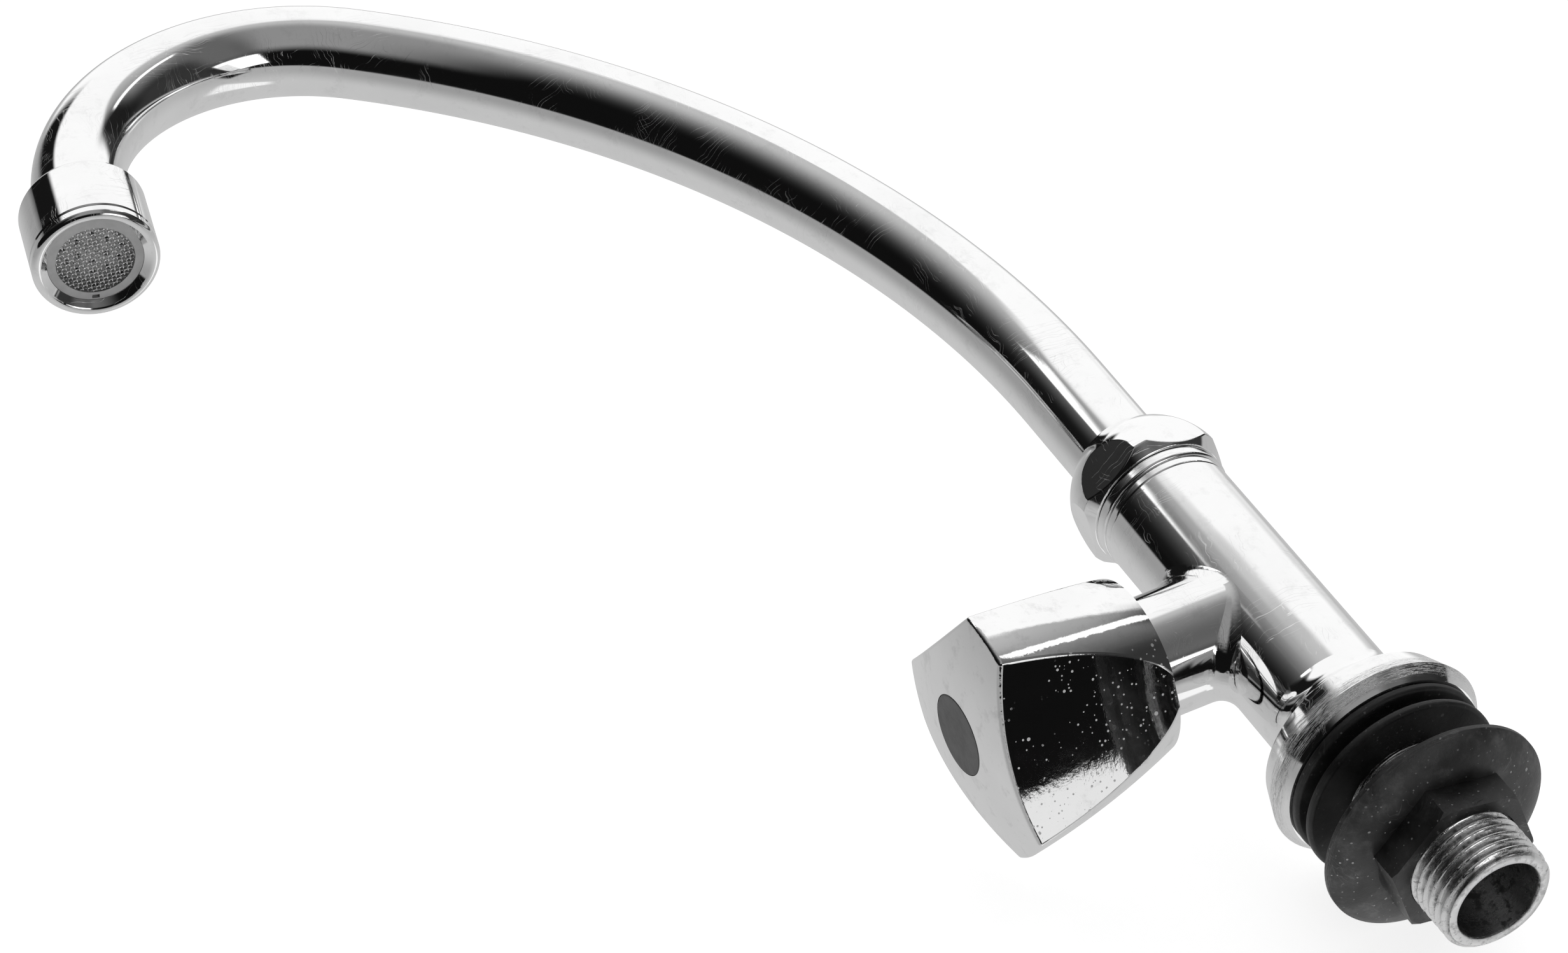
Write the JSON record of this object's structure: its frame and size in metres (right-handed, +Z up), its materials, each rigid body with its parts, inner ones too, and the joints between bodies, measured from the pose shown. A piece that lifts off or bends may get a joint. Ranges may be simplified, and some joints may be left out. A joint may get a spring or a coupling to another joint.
{
  "type": "pillar tap",
  "caption": "Chromed single-hole pillar tap with a swivelling swan-neck spout, a three-sided side handle and a plastic back nut.",
  "frame": {"origin": "on the axis of the upright body, in the plane of the deck under the base gasket", "axes": "+Z up the body from the deck, -Y out along the handle's axis, +X to the right of someone facing the handle"},
  "size_m": [0.0496, 0.1788, 0.306],
  "materials": {
    "chrome": "polished chrome plating",
    "plated_thread": "worn nickel plating",
    "rubber": "matte",
    "black_plastic": "moulded, satin",
    "grey_plastic": "moulded, satin",
    "index_plastic": "moulded, glossy",
    "white_plastic": "moulded",
    "brass": "machined",
    "steel": "drawn wire and pressings"
  },
  "bodies": {
    "tap_body": {"body": "chrome", "inlet_shank": "plated_thread", "base_gasket": "rubber", "lower_collar": "chrome", "upper_collar": "chrome", "spout_nut": "chrome", "slide_washer": "white_plastic", "spout_retaining_ring": "brass", "headwork_body": "brass", "headwork_washer": "rubber"},
    "spout": {"spout_tube": "chrome", "spout_ferrule": "brass", "spout_seal_lower": "rubber", "spout_seal_upper": "rubber", "outlet_socket": "chrome", "aerator_gasket": "rubber"},
    "aerator_insert": {"aerator_cage": "grey_plastic", "aerator_inlet_screen": "grey_plastic", "aerator_diffuser": "white_plastic", "aerator_mesh": "steel"},
    "aerator_shell": {"aerator_ring": "chrome"},
    "handle_set": {"handle": "chrome", "handle_screw": "steel", "index_cap": "index_plastic", "spindle": "brass", "spindle_seal_inner": "rubber", "spindle_seal_outer": "rubber", "spindle_circlip": "steel"},
    "valve_set": {"valve_piston": "brass", "valve_washer": "rubber", "washer_screw": "brass"},
    "gasket_carrier": {"lower_gasket": "rubber"},
    "nut": {"back_nut": "black_plastic"}
  },
  "joints": [
    {"name": "spout_swivel", "type": "hinge", "parent": "tap_body", "child": "spout", "pos_m": [0, 0, 0.08], "axis": [0, 0, 1], "continuous": true},
    {"name": "handle_turn", "type": "hinge", "parent": "tap_body", "child": "handle_set", "pos_m": [0, -0.04, 0.0436], "axis": [0, -1, 0], "range_deg": [0, 810]},
    {"name": "valve_lift", "type": "slide", "parent": "tap_body", "child": "valve_set", "axis": [0, -1, 0], "range_m": [0, 0.0036]},
    {"name": "back_nut_travel", "type": "slide", "parent": "tap_body", "child": "gasket_carrier", "axis": [0, 0, 1], "range_m": [-0.0095, 0.002]},
    {"name": "back_nut_turn", "type": "hinge", "parent": "gasket_carrier", "child": "nut", "pos_m": [0, 0, -0.018], "axis": [0, 0, 1], "range_deg": [-1880, 395]},
    {"name": "aerator_travel", "type": "slide", "parent": "spout", "child": "aerator_insert", "axis": [0.0243, -0.2134, -0.9767], "range_m": [0, 0.0031]},
    {"name": "aerator_turn", "type": "hinge", "parent": "aerator_insert", "child": "aerator_shell", "pos_m": [0.01666, -0.14622, 0.21274], "axis": [0.0243, -0.2134, -0.9767], "range_deg": [0, 1080]}
  ],
  "couplings": [
    {"joint": "valve_lift", "follows": "handle_turn", "m_per_rad": 0.00025465},
    {"joint": "back_nut_travel", "follows": "back_nut_turn", "m_per_rad": 0.00028871},
    {"joint": "aerator_travel", "follows": "aerator_turn", "m_per_rad": 0.00015915}
  ]
}
